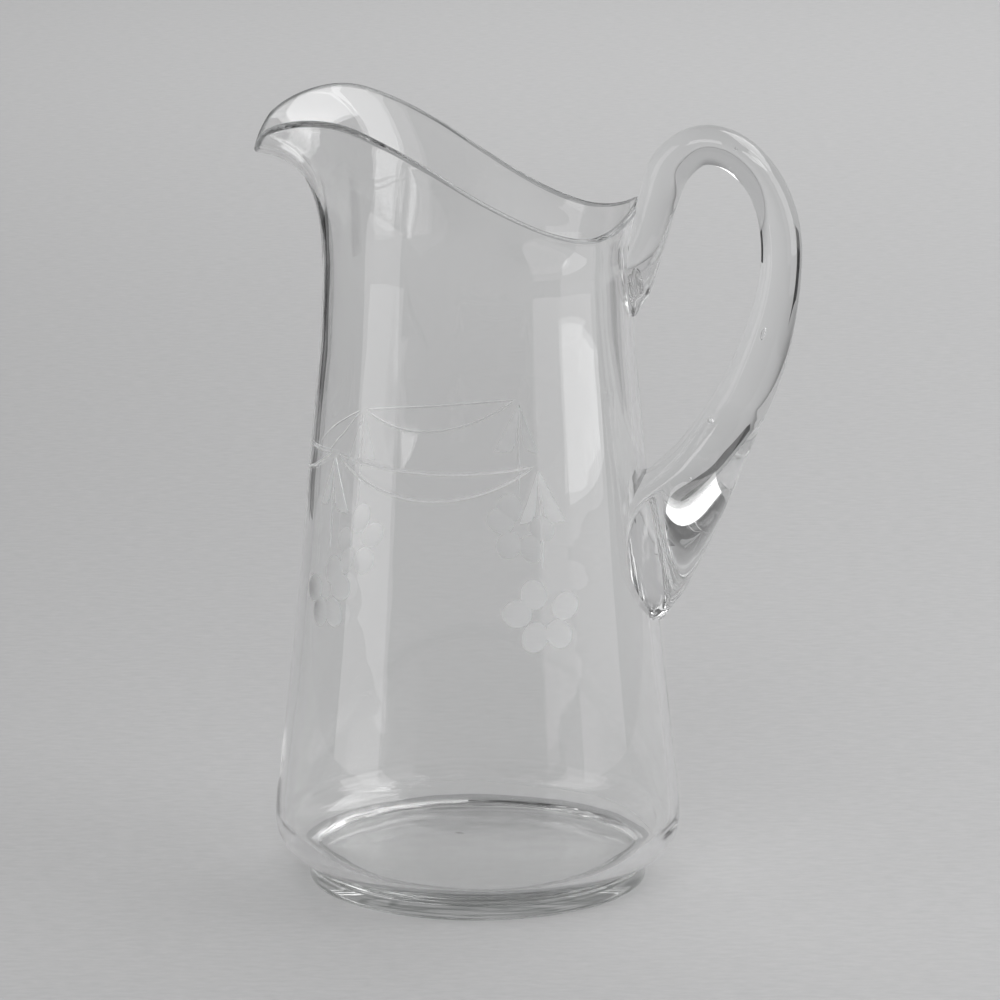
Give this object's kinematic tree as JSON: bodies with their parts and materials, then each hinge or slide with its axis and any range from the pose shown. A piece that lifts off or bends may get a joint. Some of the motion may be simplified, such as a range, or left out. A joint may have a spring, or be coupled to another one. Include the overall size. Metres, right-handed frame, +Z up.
{
  "type": "cocktail pitcher",
  "caption": "Tall clear glass pitcher with tapering body, high swept rim with pulled spout, disc foot and applied loop handle, for mixing and pouring drinks.",
  "frame": {"origin": "centre of the flat resting ring under the foot, on the vessel's axis, in the plane of the table", "axes": "+Z up along the vessel's axis, -X towards the spout, +X towards the handle, +Y to the right of the spout seen from the handle"},
  "size_m": [0.1646, 0.1244, 0.2404],
  "materials": {
    "blown_glass": "clear, fire-polished, with a shallow cut garland of swags and flowers left matt",
    "foot_glass": "clear, with a shallow dished underside",
    "handle_glass": "clear, drawn, with a few small bubbles"
  },
  "bodies": {
    "root": {"vessel": "blown_glass", "foot": "foot_glass", "handle": "handle_glass"}
  },
  "joints": []
}
